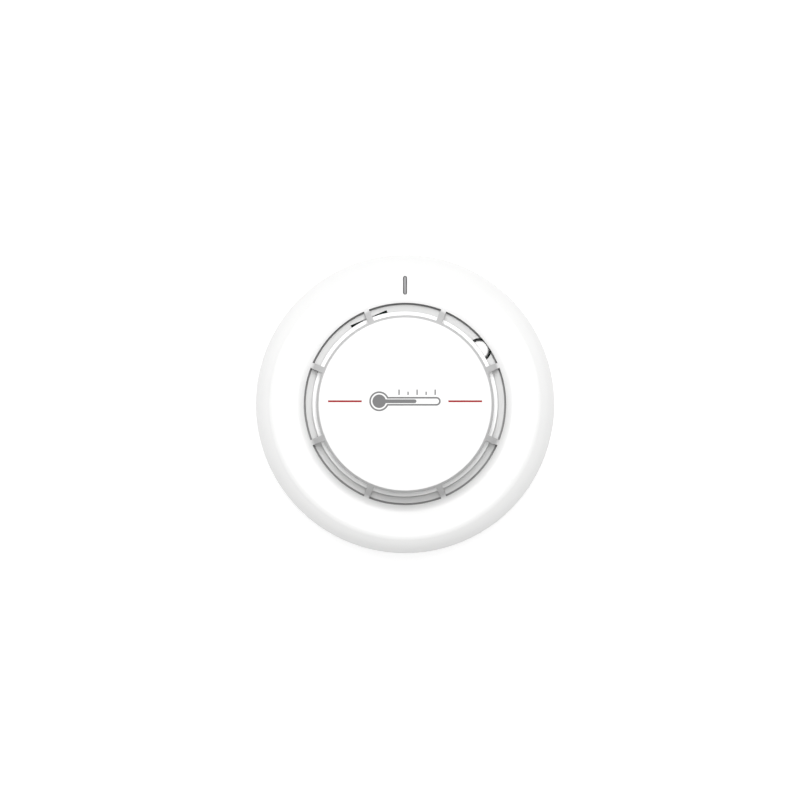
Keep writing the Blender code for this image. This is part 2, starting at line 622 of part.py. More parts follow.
def build_terminals(frame):
    """Four wiring terminals: spring contact, square clamp washer and screw."""
    foot = PAD_TOP + GAP
    strip_top = foot + SPRING_STRIP
    washer_bottom = strip_top + GAP
    washer_top = washer_bottom + STRIP
    tip = SPRING_INNER + SPRING_STRIP
    path = [(SPRING_OUTER, foot), (SPRING_INNER, foot), (SPRING_INNER, 8.4 * MM), (tip, 9.4 * MM)]
    for number, angle in enumerate(CONTACT_ANGLES, 1):
        mesh = bent_strip(path, SPRING_STRIP, CONTACT_WIDTH, placed(angle))
        spring = add_part(f"terminal_spring_{number}", mesh, NICKEL, frame)
        place = placed(angle, TERMINAL_SCREW_R)
        hole = cylinder(1.9 * MM, foot - STRIP, strip_top + STRIP, place, 12)
        shape_with(spring, "hole", [hole], 'DIFFERENCE')
        half = 4.0 * MM
        square = [(-half, -half), (half, -half), (half, half), (-half, half)]
        washer = plate([square, circle(1.9 * MM, sides=12)], washer_bottom, washer_top)
        add_part(f"terminal_washer_{number}", moved(washer, place), STEEL, frame)
        top = placed(angle, TERMINAL_SCREW_R, washer_top + GAP)
        add_screw(f"terminal_screw_{number}", frame, top, 3.0 * MM, 2.1 * MM, 1.6 * MM, 5.3 * MM)


def build_head():
    """Every piece that turns with the head."""
    frame = new_frame("head_axis")
    build_front_cover(frame)
    build_light_pipe(frame)
    build_inner_cover(frame)
    build_sensor_plate(frame)
    build_thermistor(frame)
    build_circuit_board(frame)
    build_board_parts(frame)
    build_rear_shell(frame)
    build_case_screws(frame)
    build_head_contacts(frame)


def build_base():
    """Every piece that stays on the ceiling."""
    frame = new_frame("base_frame")
    build_base_plate(frame)
    build_terminals(frame)


build_head()
build_base()
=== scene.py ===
# %% [markdown]
# # A point heat detector, dressed for the studio
#
# A heat detector hangs on the ceiling and watches the air. A small thermistor stands in a cage of
# ribs, and the electronics sit behind it under a white cover. The frame that we load here holds
# every real solid at its real size. This lesson gives those solids their finish, and remakes the
# ones that a person looks at closely, so that their edges are round and their curves are fine.

# %% Load the frame
import json
import math

import bmesh
import bpy
from mathutils import Matrix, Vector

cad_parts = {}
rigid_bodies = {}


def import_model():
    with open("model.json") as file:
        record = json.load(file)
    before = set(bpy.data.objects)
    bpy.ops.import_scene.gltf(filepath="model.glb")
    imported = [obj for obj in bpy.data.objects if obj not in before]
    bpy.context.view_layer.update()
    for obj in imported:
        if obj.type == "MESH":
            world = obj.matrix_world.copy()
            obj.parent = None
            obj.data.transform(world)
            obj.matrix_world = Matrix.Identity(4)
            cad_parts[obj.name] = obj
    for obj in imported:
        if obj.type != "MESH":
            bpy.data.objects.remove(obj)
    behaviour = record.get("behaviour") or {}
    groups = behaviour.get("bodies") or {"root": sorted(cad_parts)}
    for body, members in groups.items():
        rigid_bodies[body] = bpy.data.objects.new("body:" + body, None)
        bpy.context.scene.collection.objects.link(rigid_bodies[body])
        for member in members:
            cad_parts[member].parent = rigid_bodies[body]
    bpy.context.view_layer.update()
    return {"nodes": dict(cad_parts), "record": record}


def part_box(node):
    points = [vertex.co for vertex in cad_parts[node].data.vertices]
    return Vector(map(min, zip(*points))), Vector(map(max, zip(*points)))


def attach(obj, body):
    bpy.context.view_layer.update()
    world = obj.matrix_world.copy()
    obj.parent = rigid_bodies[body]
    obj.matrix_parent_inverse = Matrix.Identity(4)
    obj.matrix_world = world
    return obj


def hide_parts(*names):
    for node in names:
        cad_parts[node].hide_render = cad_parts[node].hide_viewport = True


for leftover in list(bpy.data.objects):
    bpy.data.objects.remove(leftover, do_unlink=True)
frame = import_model()
nodes = frame["nodes"]
print("nodes in the frame:", len(nodes))

# %% [markdown]
# ## Sizes
#
# The detector is round, so nearly every size is a radius from its axis or a height above the
# mounting face. Both are read from the frame's boxes. Wall thicknesses and edge rounds are the
# moulder's choices, in millimetres.

# %% Read the sizes from the frame
MM = 0.001
cover_low, cover_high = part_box("front_cover")
base_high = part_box("base_plate")[1]
plate_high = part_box("sensor_plate")[1]
pipe_low, pipe_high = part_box("light_pipe")
outer_radius = cover_high.x
top_z = cover_high.z
skirt_z = cover_low.z
base_top = base_high.z
plate_radius = plate_high.x
face_z = top_z - 13.0 * MM
wall = 2.0 * MM
print("across", round(2 * outer_radius / MM, 1), "mm, high", round(top_z / MM, 1), "mm")

# %% [markdown]
# ## A small language for finishes
#
# A finish is a tree of shader nodes. Writing every node by hand hides the idea, so a `Wire` stands
# for one socket and can be added, multiplied or compared like a number, and a `Finish` adds any
# other node in one call. What follows reads as the recipe of each plastic or metal.

# %% Wires and finishes
class Wire:
    """One output socket that can be used in an expression."""

    def __init__(self, socket):
        self.socket = socket

    def math(self, operation, left, right):
        tree = self.socket.id_data
        node = tree.nodes.new("ShaderNodeMath")
        node.operation = operation
        for entry, value in zip(node.inputs, (left, right)):
            connect(entry, value)
        return Wire(node.outputs[0])

    def __add__(self, other):
        return self.math("ADD", self, other)

    def __sub__(self, other):
        return self.math("SUBTRACT", self, other)

    def __rsub__(self, other):
        return self.math("SUBTRACT", other, self)

    def __mul__(self, other):
        return self.math("MULTIPLY", self, other)

    def __gt__(self, other):
        return self.math("GREATER_THAN", self, other)

    def __lt__(self, other):
        return self.math("LESS_THAN", self, other)

    def clamped(self):
        """The same value kept between 0 and 1."""
        wire = self.math("ADD", self, 0.0)
        wire.socket.node.use_clamp = True
        return wire

    __radd__ = __add__
    __rmul__ = __mul__


def connect(entry, value):
    """Put a number, a colour or a wire on an input socket."""
    if isinstance(value, Wire):
        entry.id_data.links.new(value.socket, entry)
    elif entry.type == 'RGBA' and len(value) == 3:
        entry.default_value = (*value, 1.0)
    else:
        entry.default_value = value


class Finish:
    """A material under construction."""

    def __init__(self, name):
        self.material = bpy.data.materials.new(name)
        self.material.use_nodes = True
        self.tree = self.material.node_tree
        self.shader = self.tree.nodes["Principled BSDF"]
        self.place = self.node("ShaderNodeTexCoord", "Object")

    def node(self, kind, output, settings=None, **sockets):
        """Any node: its settings first, then its sockets, with _ for a space in a name."""
        node = self.tree.nodes.new(kind)
        for key, value in (settings or {}).items():
            if key == "stops":
                set_stops(node.color_ramp, value)
            else:
                setattr(node, key, value)
        for key, value in sockets.items():
            connect(socket_named(node, key.replace("_", " ")), value)
        return Wire(socket_named(node, output, node.outputs))

    def set(self, **sockets):
        """Sockets of the shader itself."""
        for key, value in sockets.items():
            connect(self.shader.inputs[key.replace("_", " ")], value)

    def axes(self):
        """The X, Y and Z of the place on the object, each as a wire."""
        split = self.tree.nodes.new("ShaderNodeSeparateXYZ")
        connect(split.inputs[0], self.place)
        return [Wire(split.outputs[name]) for name in "XYZ"]

    def beyond(self, radius):
        """1 where the surface is further than radius from the Z axis, else 0."""
        across, along, _ = self.axes()
        return (across * across + along * along) > radius ** 2

    def noise(self, size, detail=3.0):
        """Soft random blotches of about that size in metres."""
        return self.node("ShaderNodeTexNoise", "Fac", Vector=self.place, Scale=1.0 / size, Detail=detail)

    def blend(self, factor, first, second):
        """A colour between two colours."""
        return self.node("ShaderNodeMix", "Result", {"data_type": 'RGBA'}, Factor=factor, A=first, B=second)

    def relief(self, height, depth):
        """Shallow relief of that depth in metres."""
        self.set(Normal=self.node("ShaderNodeBump", "Normal", Height=height, Distance=depth, Strength=1.0))


def socket_named(node, name, sockets=None):
    """The enabled socket of that name; a Mix node has several that share one."""
    group = node.inputs if sockets is None else sockets
    return next(entry for entry in group if entry.name == name and entry.enabled)


def set_stops(ramp, stops):
    """Fill a colour ramp with (position, colour) stops."""
    for index, (position, colour) in enumerate(stops):
        element = ramp.elements[index] if index < 2 else ramp.elements.new(position)
        element.position = position
        element.color = (*colour, 1.0)


print("finish tools ready")

# %% [markdown]
# ## White moulded plastic
#
# The housing is injection-moulded ABS. The tool is spark-eroded, which leaves a fine satin grain
# that you feel more than see. Two scales of noise make it: a grain of a quarter of a millimetre in
# the relief, and slow blotches in the roughness, where hands and the mould's cooling leave the
# surface a little glossier. The colour stays almost even, as it does on a new detector.
#
# Everything here is white, and white on white loses its edges under soft light. So a few tones are
# painted light and shade, not the plastic's own colour: the ribs and the cap's rim are painted
# greyer as shade, and the sensor plate is painted brighter as light, with a greyer edge painted as
# shade. These tones are for the picture, and aren't measured from a real moulding.

# %% Mix the white plastics
def white_plastic(name, light, shade, roughness, grain_depth):
    finish = Finish(name)
    cloud = finish.noise(14 * MM, 2.0)
    grain = finish.noise(0.26 * MM, 2.0)
    finish.set(Base_Color=finish.blend(cloud, shade, light))
    finish.set(Roughness=roughness + 0.10 * (cloud - 0.5) + 0.06 * (grain - 0.5))
    finish.set(Specular_IOR_Level=0.45, IOR=1.53)
    finish.relief(grain, grain_depth)
    return finish.material


CAP_RIM_R = 28.65 * MM
RIB_FOOT, RIB_HEAD = 32.8 * MM, 43.97 * MM
RIB_FADE = 1.8 * MM
PLATE_EDGE_R = 30.8 * MM
# Painted shade: a greyer tone for the ribs and the cap's rim, and one for the sensor plate's edge.
RIB_PAINTED_SHADE, PLATE_EDGE_PAINTED_SHADE = (0.5, 0.5, 0.5), (0.62, 0.62, 0.62)


def cover_finish():
    """Satin white; the ribs and the cap's rim are painted greyer as shade, which fades out at the foot."""
    finish = Finish("cover_white")
    height = finish.axes()[2]
    risen = ((height - RIB_FOOT) * (1 / RIB_FADE)).clamped()
    rib = finish.beyond(CAP_RIM_R) * risen * (height < RIB_HEAD)
    cloud = finish.noise(14 * MM, 2.0)
    grain = finish.noise(0.26 * MM, 2.0)
    white = finish.blend(cloud, (0.745, 0.745, 0.743), (0.765, 0.765, 0.762))
    # The greyer tone on the ribs and the cap's rim is painted shade, not a different plastic.
    finish.set(Base_Color=finish.blend(rib, white, RIB_PAINTED_SHADE))
    finish.set(Roughness=0.46 + 0.10 * (cloud - 0.5) + 0.06 * (grain - 0.5) + 0.2 * rib)
    finish.set(Specular_IOR_Level=0.45, IOR=1.53)
    finish.relief(grain, 0.006 * MM)
    return finish.material


def plate_finish():
    """White painted brighter than the cover as light, with painted shade on the turned edge."""
    finish = Finish("plate_white")
    # Painted shade: the turned edge beyond PLATE_EDGE_R takes a greyer tone.
    edge = finish.beyond(PLATE_EDGE_R)
    cloud = finish.noise(12 * MM, 2.0)
    grain = finish.noise(0.24 * MM, 2.0)
    # The plate's white is painted brighter than the cover's, as light on it.
    white = finish.blend(cloud, (0.91, 0.91, 0.907), (0.94, 0.94, 0.937))
    finish.set(Base_Color=finish.blend(edge, white, PLATE_EDGE_PAINTED_SHADE))
    finish.set(Roughness=0.5 + 0.08 * (grain - 0.5) + 0.1 * edge)
    finish.set(Specular_IOR_Level=0.45, IOR=1.53)
    finish.relief(grain, 0.004 * MM)
    return finish.material


cover_white = cover_finish()
base_white = white_plastic("base_white", (0.76, 0.76, 0.752), (0.735, 0.735, 0.73), 0.5, 0.008 * MM)
plate_white = plate_finish()
print("white plastics:", cover_white.name, base_white.name, plate_white.name)

# %% [markdown]
# ## Shapes turned on the axis
#
# A turned shell is a profile swept round the axis by the Screw modifier. The profile runs down the
# outer side, which keeps the faces pointing out. 192 steps keep the rim smooth when the camera is
# close. The helpers below also make arcs for the rounded corners of a profile.

# %% Profile and mesh helpers
TURN_STEPS = 192


def arc(centre, radius, start_deg, end_deg, steps):
    """Points of an arc in the (r, z) plane."""
    angles = [math.radians(start_deg + (end_deg - start_deg) * i / steps) for i in range(steps + 1)]
    return [(centre[0] + radius * math.cos(a), centre[1] + radius * math.sin(a)) for a in angles]


def line(start, end, steps):
    """Evenly spaced points between two points, without the first."""
    span = [(i + 1) / steps for i in range(steps)]
    return [(start[0] + (end[0] - start[0]) * t, start[1] + (end[1] - start[1]) * t) for t in span]


def rounded(corners, radius, steps=4):
    """A profile's corners, each cut by a small arc; (r, z, 0) keeps a corner sharp."""
    result = []
    for index, corner in enumerate(corners):
        here = corner[:2]
        if len(corner) == 3 or (corners[0][0] == 0.0 and index in (0, len(corners) - 1)):
            result.append(here)
            continue
        before = corners[index - 1][:2]
        after = corners[(index + 1) % len(corners)][:2]
        result += corner_arc(before, here, after, radius, steps)
    return result


def corner_arc(before, here, after, radius, steps):
    """A short curve that rounds one corner, at most a third of the way along either side."""
    reach_in = min(radius, math.dist(before, here) / 3)
    reach_out = min(radius, math.dist(here, after) / 3)
    start = towards(here, before, reach_in)
    end = towards(here, after, reach_out)
    points = []
    for step in range(steps + 1):
        t = step / steps
        keep, bend, leave = (1 - t) ** 2, 2 * t * (1 - t), t ** 2
        points.append(tuple(keep * a + bend * b + leave * c for a, b, c in zip(start, here, end)))
    return points


def towards(start, end, distance):
    """The point that far from start on the way to end."""
    share = distance / math.dist(start, end)
    return tuple(a + (b - a) * share for a, b in zip(start, end))


def link(obj):
    """Put an object in the scene."""
    bpy.context.scene.collection.objects.link(obj)
    return obj


def plain_mesh(obj):
    """The object's evaluated mesh, placed, with the object itself removed."""
    bpy.context.view_layer.update()
    evaluated = obj.evaluated_get(bpy.context.evaluated_depsgraph_get())
    mesh = bpy.data.meshes.new_from_object(evaluated)
    mesh.transform(obj.matrix_world)
    bpy.data.objects.remove(obj, do_unlink=True)
    return mesh


def turned(profile, steps=TURN_STEPS):
    """Sweep a profile round the axis; one that stays off the axis is a closed ring."""
    mesh = bpy.data.meshes.new("profile")
    edges = [(i, i + 1) for i in range(len(profile) - 1)]
    if profile[0][0] > 0.0:
        edges.append((len(profile) - 1, 0))
    mesh.from_pydata([(r, 0.0, z) for r, z in profile], edges, [])
    holder = link(bpy.data.objects.new("profile", mesh))
    screw = holder.modifiers.new("turn", 'SCREW')
    screw.steps = screw.render_steps = steps
    screw.use_merge_vertices = True
    screw.merge_threshold = 0.0005 * MM
    return welded(plain_mesh(holder), recalculate=False)


def welded(mesh, recalculate=True):
    """Merge doubles and, for a shape made by hand, turn every face outwards."""
    work = bmesh.new()
    work.from_mesh(mesh)
    bmesh.ops.remove_doubles(work, verts=work.verts, dist=0.0015 * MM)
    if recalculate:
        bmesh.ops.recalc_face_normals(work, faces=work.faces)
    work.to_mesh(mesh)
    work.free()
    return mesh


def piece(name, mesh, material, smooth_deg=36):
    """A finished piece at the origin with its finish and smooth curves."""
    mesh.name = name
    mesh.materials.clear()
    mesh.materials.append(material)
    mesh.polygons.foreach_set("material_index", [0] * len(mesh.polygons))
    mesh.shade_smooth()
    mesh.set_sharp_from_angle(angle=math.radians(smooth_deg))
    print(name, "has", len(mesh.polygons), "faces")
    return link(bpy.data.objects.new(name, mesh))


print("turning helpers ready")

# %% [markdown]
# ## Flat outlines
#
# Slots, printed lines and pads start as flat outlines. A 2D curve fills them, and every outline
# inside another becomes a hole. The curve is made a mesh before it is placed.

# %% Outline helpers
def flat(outlines, bottom, top):
    """A plate between two heights from an outline and its holes."""
    curve = bpy.data.curves.new("outline", 'CURVE')
    curve.dimensions = '2D'
    curve.fill_mode = 'BOTH'
    curve.extrude = (top - bottom) / 2
    for outline in outlines:
        spline = curve.splines.new('POLY')
        spline.points.add(len(outline) - 1)
        for point, (x, y) in zip(spline.points, outline):
            point.co = (x, y, 0.0, 1.0)
        spline.use_cyclic_u = True
    holder = link(bpy.data.objects.new("outline", curve))
    holder.location.z = (top + bottom) / 2
    return welded(plain_mesh(holder))


def stadium(length, width, steps=12):
    """Outline of a slot with round ends, along X."""
    half = (length - width) / 2
    return arc((half, 0.0), width / 2, -90, 90, steps) + arc((-half, 0.0), width / 2, 90, 270, steps)


def around(angle_deg, radius=0.0):
    """A place on a circle round the axis, with X pointing outwards."""
    return Matrix.Rotation(math.radians(angle_deg), 4, 'Z') @ Matrix.Translation((radius, 0.0, 0.0))


def moved(mesh, place):
    """The mesh after a move."""
    mesh.transform(place)
    return mesh


def box_mesh(low, high, place=Matrix()):
    """A box between two corners."""
    work = bmesh.new()
    size = [b - a for a, b in zip(low, high)]
    middle = [(a + b) / 2 for a, b in zip(low, high)]
    grow = Matrix.Translation(middle) @ Matrix.Diagonal((*size, 1.0))
    bmesh.ops.create_cube(work, size=1.0, matrix=place @ grow)
    mesh = bpy.data.meshes.new("box")
    work.to_mesh(mesh)
    work.free()
    return mesh


def together(meshes):
    """Several closed shapes in one mesh."""
    work = bmesh.new()
    for mesh in meshes:
        work.from_mesh(mesh)
    result = bpy.data.meshes.new("group")
    work.to_mesh(result)
    work.free()
    return result


def combined(mesh, tools, operation):
    """The mesh after other shapes are joined to it or cut out of it."""
    body = link(bpy.data.objects.new("body", mesh))
    tool = link(bpy.data.objects.new("tool", together(tools)))
    modifier = body.modifiers.new("combine", 'BOOLEAN')
    modifier.operation = operation
    modifier.solver = 'EXACT'
    modifier.object = tool
    result = plain_mesh(body)
    bpy.data.objects.remove(tool, do_unlink=True)
    return result


def softened(mesh, width, segments=3, angle_deg=38):
    """The mesh with its sharp edges rounded."""
    body = link(bpy.data.objects.new("body", mesh))
    bevel = body.modifiers.new("soften", 'BEVEL')
    bevel.width = width
    bevel.segments = segments
    bevel.limit_method = 'ANGLE'
    bevel.angle_limit = math.radians(angle_deg)
    return plain_mesh(body)


print("outline helpers ready")

# %% [markdown]
# ## One pattern for everything that repeats round the axis
#
# The cage repeats eight times, the bayonet three times, the terminals four times. Geometry Nodes
# do this well: the tree makes one point for each copy, turns an instance of the shape by an even
# share of the circle, makes the copies real, welds the seams and sets the finish. Count, first
# angle, weld distance and finish are the tree's named inputs.

# %% Build the ring tree
def ring_tree():
    tree = bpy.data.node_groups.new("repeat_round_axis", 'GeometryNodeTree')
    inputs = (("Geometry", 'NodeSocketGeometry'), ("Count", 'NodeSocketInt'),
              ("First angle", 'NodeSocketFloat'), ("Weld distance", 'NodeSocketFloat'),
              ("Finish", 'NodeSocketMaterial'))
    for name, kind in inputs:
        tree.interface.new_socket(name, in_out='INPUT', socket_type=kind)
    tree.interface.new_socket("Geometry", in_out='OUTPUT', socket_type='NodeSocketGeometry')
    add = tree.nodes.new
    start, end = add("NodeGroupInput"), add("NodeGroupOutput")
    points, number, share = add("GeometryNodePoints"), add("GeometryNodeInputIndex"), add("ShaderNodeMath")
    turn, first, axis = add("ShaderNodeMath"), add("ShaderNodeMath"), add("ShaderNodeCombineXYZ")
    copies, real = add("GeometryNodeInstanceOnPoints"), add("GeometryNodeRealizeInstances")
    weld, finish = add("GeometryNodeMergeByDistance"), add("GeometryNodeSetMaterial")
    share.operation, turn.operation, first.operation = 'DIVIDE', 'MULTIPLY', 'ADD'
    share.inputs[0].default_value = 2 * math.pi
    wires = ((start.outputs["Count"], points.inputs["Count"]), (start.outputs["Count"], share.inputs[1]),
             (number.outputs[0], turn.inputs[0]), (share.outputs[0], turn.inputs[1]),
             (turn.outputs[0], first.inputs[0]), (start.outputs["First angle"], first.inputs[1]),
             (first.outputs[0], axis.inputs["Z"]), (points.outputs[0], copies.inputs["Points"]),
             (start.outputs["Geometry"], copies.inputs["Instance"]),
             (axis.outputs[0], copies.inputs["Rotation"]), (copies.outputs[0], real.inputs[0]),
             (real.outputs[0], weld.inputs["Geometry"]),
             (start.outputs["Weld distance"], weld.inputs["Distance"]),
             (weld.outputs[0], finish.inputs["Geometry"]),
             (start.outputs["Finish"], finish.inputs["Material"]),
             (finish.outputs[0], end.inputs[0]))
    for source, target in wires:
        tree.links.new(source, target)
    return tree


RING = ring_tree()


def ring_of(mesh, count, first_deg, material):
    """Copies of a shape round the axis, as one plain mesh."""
    holder = link(bpy.data.objects.new("ring", mesh))
    modifier = holder.modifiers.new("repeat", 'NODES')
    modifier.node_group = RING
    values = {"Count": count, "First angle": math.radians(first_deg),
              "Weld distance": 0.001 * MM, "Finish": material}
    for entry in RING.interface.items_tree:
        if entry.in_out == 'INPUT' and entry.name in values:
            modifier[entry.identifier] = values[entry.name]
    return plain_mesh(holder)


print("ring tree with", len(RING.nodes), "nodes")

# %% [markdown]
# ## The front cover
#
# The cover is one moulding: a skirt, a bevelled shoulder, a flat ring, and a raised cage whose
# eight ribs carry the cap. Cutting eight windows out of a turned shell leaves ragged facets along
# every cut. A cleaner way is to lay the grid so that its columns follow the ribs' edges, leave
# the window cells out, and close the wall round each opening. One rib with half a window on each
# side is an eighth of the cover, and the ring tree makes the rest.

# %% Profiles of the cover
SLOPE = math.radians(67.6)
CAP_RADIUS = 28.95 * MM
LIP_RADIUS = 33.75 * MM
HOLLOW = 3.0 * MM
hollow_centre = (36.2 * MM, face_z + HOLLOW)
SHOULDER_FOOT = face_z - 3.2 * MM
SKIRT_INNER = outer_radius - wall + 0.2 * MM
cap_under = top_z - 1.85 * MM


def hollow_point(radius, at_r):
    """Where the hollow curve of that radius passes a distance from the axis."""
    return (at_r, hollow_centre[1] - math.sqrt(radius ** 2 - (at_r - hollow_centre[0]) ** 2))


def shoulder(inset):
    """The bowed shoulder between the flat ring and the skirt."""
    start, end = (45.5 * MM, face_z - 0.15 * MM), (outer_radius - 0.2 * MM, SHOULDER_FOOT)
    length = math.dist(start, end)
    out = ((start[1] - end[1]) / length, (end[0] - start[0]) / length)
    points = []
    for index in range(9):
        t = index / 8
        lift = 4 * 0.35 * MM * t * (1 - t) - inset
        points.append((start[0] + (end[0] - start[0]) * t + out[0] * lift,
                       start[1] + (end[1] - start[1]) * t + out[1] * lift))
    return points


def cage_side(radius, cap_r, cap_z, steps_line, steps_arc):
    """From the cap down the slanting side and round the hollow curve to the lip."""
    turn = 270 - math.degrees(SLOPE)
    lip = hollow_point(radius, LIP_RADIUS)
    lip_turn = 360 + math.degrees(math.atan2(lip[1] - hollow_centre[1], lip[0] - hollow_centre[0]))
    bend = arc(hollow_centre, radius, turn, lip_turn, steps_arc)
    return [(cap_r, cap_z)] + line((cap_r, cap_z), bend[0], steps_line) + bend[1:]


def lip_to_ring(radius, steps):
    """From the lip round the rest of the hollow curve to the flat ring."""
    lip = hollow_point(radius, LIP_RADIUS)
    lip_turn = 360 + math.degrees(math.atan2(lip[1] - hollow_centre[1], lip[0] - hollow_centre[0]))
    return arc(hollow_centre, radius, lip_turn, 270, steps)


run = math.cos(SLOPE) / math.sin(SLOPE)
foot = (hollow_centre[0] - HOLLOW * math.sin(SLOPE), hollow_centre[1] - HOLLOW * math.cos(SLOPE))
inner_foot = (hollow_centre[0] - (HOLLOW + wall) * math.sin(SLOPE),
              hollow_centre[1] - (HOLLOW + wall) * math.cos(SLOPE))
rim_outer_r = foot[0] - (cap_under - foot[1]) * run
rim_inner_r = inner_foot[0] - (cap_under - inner_foot[1]) * run
print("cap rim between", round(rim_inner_r / MM, 2), "and", round(rim_outer_r / MM, 2), "mm")

# %% One eighth of the cover
RIB_DIVISIONS = 4
WINDOW_DIVISIONS = 14
RIB_TOP_HALF = 1.075 * MM
RIB_FOOT_HALF = 0.9 * MM


def column_angles(radius):
    """Angles of the grid's columns at a radius: half a window, the rib, half a window."""
    share = min(max((radius - CAP_RADIUS) / (LIP_RADIUS - CAP_RADIUS), 0.0), 1.0)
    half_width = RIB_TOP_HALF + (RIB_FOOT_HALF - RIB_TOP_HALF) * share
    edge = half_width / min(max(radius, CAP_RADIUS), LIP_RADIUS)
    end = math.pi / 8
    left = [-end + (end - edge) * i / WINDOW_DIVISIONS for i in range(WINDOW_DIVISIONS)]
    middle = [-edge + 2 * edge * i / RIB_DIVISIONS for i in range(RIB_DIVISIONS)]
    return left + middle + [-a for a in reversed(left + [-edge])]


def add_rows(work, profile):
    """One row of vertices for each profile point."""
    return [[work.verts.new((r * math.cos(a), r * math.sin(a), z)) for a in column_angles(r)]
            for r, z in profile]


def skin(work, first, second, columns):
    """Faces between two rows, in the given columns."""
    for index in columns:
        corners = (first[index], first[index + 1], second[index + 1], second[index])
        work.faces.new(corners)


def cover_sector():
    """A rib with half a window on each side, as a closed strip of wall."""
    cap_edge = (CAP_RADIUS - 0.35 * MM, top_z - 0.35 * MM)
    crown = [(r * MM, top_z) for r in (0.02, 4, 9, 14, 19, 24, 27.5)]
    crown += arc(cap_edge, 0.35 * MM, 90, 14, 4)
    crown += line((CAP_RADIUS, cap_edge[1]), (rim_outer_r, cap_under), 2)
    under = [(r * MM, cap_under) for r in (0.02, 4, 9, 14, 19, 24)] + [(rim_inner_r, cap_under)]
    side_out = cage_side(HOLLOW, rim_outer_r, cap_under, 10, 5)
    side_in = cage_side(HOLLOW + wall, rim_inner_r, cap_under, 10, 5)
    face = lip_to_ring(HOLLOW, 8) + line((hollow_centre[0], face_z), (45.2 * MM, face_z), 6) + shoulder(0.0)
    face += line((outer_radius - 0.2 * MM, SHOULDER_FOOT), (outer_radius, skirt_z), 8)
    inner_face = lip_to_ring(HOLLOW + wall, 6) + line((hollow_centre[0], face_z - wall),
                                                      (44.45 * MM, face_z - wall), 4)
    low = [point for point in shoulder(wall) if point[1] < face_z - wall and point[0] < SKIRT_INNER]
    inner_face += low + line(low[-1], (SKIRT_INNER, skirt_z), 6)
    work = bmesh.new()
    everywhere = range(2 * WINDOW_DIVISIONS + RIB_DIVISIONS)
    rib = range(WINDOW_DIVISIONS, WINDOW_DIVISIONS + RIB_DIVISIONS)
    windows = [index for index in everywhere if index not in rib]
    outside = add_rows(work, crown[:-1] + side_out[:1])
    inside = add_rows(work, under)
    ribs_out = [outside[-1]] + add_rows(work, side_out[1:])
    ribs_in = [inside[-1]] + add_rows(work, side_in[1:])
    face_out = [ribs_out[-1]] + add_rows(work, face[1:])
    face_in = [ribs_in[-1]] + add_rows(work, inner_face[1:])
    for rows, columns in ((outside, everywhere), (inside, everywhere), (ribs_out, rib), (ribs_in, rib),
                          (face_out, everywhere), (face_in, everywhere)):
        for upper, lower in zip(rows, rows[1:]):
            skin(work, upper, lower, columns)
    skin(work, ribs_out[0], ribs_in[0], windows)
    skin(work, ribs_out[-1], ribs_in[-1], windows)
    skin(work, face_out[-1], face_in[-1], everywhere)
    for column in (rib.start, rib.stop):
        edge_out, edge_in = [row[column] for row in ribs_out], [row[column] for row in ribs_in]
        skin(work, edge_out, edge_in, range(len(edge_out) - 1))
    bmesh.ops.delete(work, geom=[v for v in work.verts if not v.link_faces], context='VERTS')
    mesh = bpy.data.meshes.new("cover_sector")
    work.to_mesh(mesh)
    work.free()
    return mesh


def closed_poles(mesh):
    """Fill the pinholes on the axis and turn the faces outwards."""
    work = bmesh.new()
    work.from_mesh(mesh)
    rims = [edge for edge in work.edges if edge.is_boundary]
    bmesh.ops.holes_fill(work, edges=rims, sides=0)
    bmesh.ops.recalc_face_normals(work, faces=work.faces)
    open_edges = sum(1 for edge in work.edges if not edge.is_manifold)
    work.to_mesh(mesh)
    work.free()
    print("open edges left:", open_edges)
    return mesh


cover_mesh = closed_poles(ring_of(cover_sector(), 8, 22.5, cover_white))
cover_mesh = softened(cover_mesh, 0.2 * MM)
print("cover grid:", len(cover_mesh.polygons), "faces")

# %% [markdown]
# Two cuts finish the cover. The slot in the flat ring lets the indicator shine through. A short
# engraved bar on the skirt lines up with a pair of bars on the base: one where the head goes in,
# one where it locks. Both are cut last, in nearly flat places, so they don't disturb the curves.
# Three bosses inside take the case screws.

# %% Cut the slot and the alignment bar, add the bosses
SLOT_R = (pipe_low.y + pipe_high.y) / 2
SLOT_LENGTH, SLOT_WIDTH = 6.2 * MM, 1.3 * MM
MARK_ANGLE = -90.0
BOSS_R, BOSS_ANGLES = 37.2 * MM, (0, 120, 240)


def slot_cutter():
    straight = flat([stadium(SLOT_LENGTH, SLOT_WIDTH)], face_z - 2 * wall, face_z - 0.1 * MM)
    flare = flat([stadium(SLOT_LENGTH, SLOT_WIDTH)], face_z - 0.12 * MM, face_z + 0.2 * MM)
    widen = 0.14 * MM
    for vertex in flare.vertices:
        if vertex.co.z > face_z:
            vertex.co.x *= 1 + 2 * widen / SLOT_LENGTH
            vertex.co.y *= 1 + 2 * widen / SLOT_WIDTH
    return [moved(straight, around(90, SLOT_R)), moved(flare, around(90, SLOT_R))]


def skirt_mark(angle_deg, low, high, depth):
    """A shallow upright bar for engraving at the rim."""
    half = 0.45 * MM
    return box_mesh((outer_radius - depth, -half, low), (outer_radius + MM, half, high), around(angle_deg))


def boss_mesh(angle_deg):
    """A post inside the cover with a blind hole for a case screw."""
    radius, bore, low = 2.4 * MM, 1.6 * MM, 13.3 * MM
    profile = [(0.0, face_z - 1.4 * MM), (radius, face_z - 1.4 * MM), (radius, low), (bore, low),
               (bore, 23.0 * MM), (0.0, 23.0 * MM)]
    return moved(turned(profile, 40), around(angle_deg, BOSS_R))


mark = skirt_mark(MARK_ANGLE, skirt_z + 1.6 * MM, skirt_z + 5.2 * MM, 0.35 * MM)
cover_mesh = combined(cover_mesh, slot_cutter()[:1] + [mark], 'DIFFERENCE')
cover_mesh = combined(cover_mesh, slot_cutter()[1:], 'DIFFERENCE')
cover_mesh = combined(cover_mesh, [boss_mesh(angle) for angle in BOSS_ANGLES], 'UNION')
cover = piece("cover", cover_mesh, cover_white)
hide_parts("front_cover")
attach(cover, "head")
